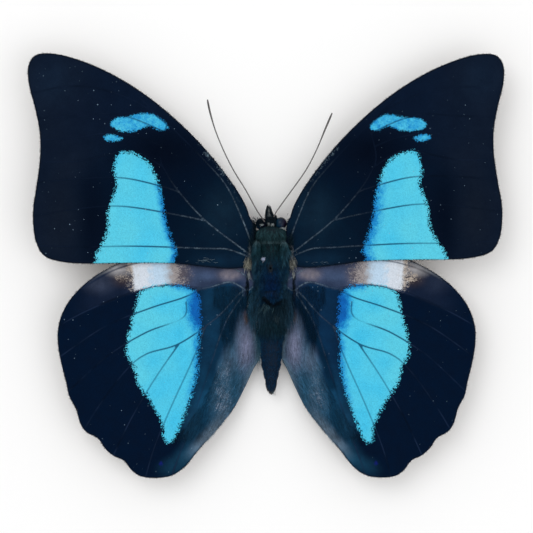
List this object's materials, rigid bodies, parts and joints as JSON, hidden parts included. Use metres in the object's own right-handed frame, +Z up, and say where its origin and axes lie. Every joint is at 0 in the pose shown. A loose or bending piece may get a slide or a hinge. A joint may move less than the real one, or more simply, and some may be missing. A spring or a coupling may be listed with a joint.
{
  "type": "spread butterfly specimen",
  "caption": "Dried butterfly specimen spread flat, with dark wings banded in turquoise, antennae, coiled proboscis and folded legs, lying on its underside.",
  "frame": {"origin": "on the flat patch under the thorax, on the body's mid-plane", "axes": "+Z up through the back, +Y towards the head, +X towards the right wings"},
  "size_m": [0.0997, 0.089, 0.0095],
  "materials": {
    "wing_scales": "velvety scales, near-black navy with turquoise bands",
    "body_hair": "fine hair over a dark shell",
    "abdomen_scales": "smooth dark blue scales",
    "eye": "glossy",
    "antenna_shell": "satin",
    "leg_shell": "satin, scaly"
  },
  "bodies": {
    "root": {"abdomen": "abdomen_scales", "antenna_left": "antenna_shell", "antenna_right": "antenna_shell", "eye_left": "eye", "eye_right": "eye", "foreleg_left": "leg_shell", "foreleg_right": "leg_shell", "forewing_left": "wing_scales", "forewing_right": "wing_scales", "head": "body_hair", "hind_leg_left": "leg_shell", "hind_leg_right": "leg_shell", "hindwing_left": "wing_scales", "hindwing_right": "wing_scales", "mid_leg_left": "leg_shell", "mid_leg_right": "leg_shell", "palp_left": "body_hair", "palp_right": "body_hair", "proboscis": "leg_shell", "thorax": "body_hair"}
  },
  "joints": []
}
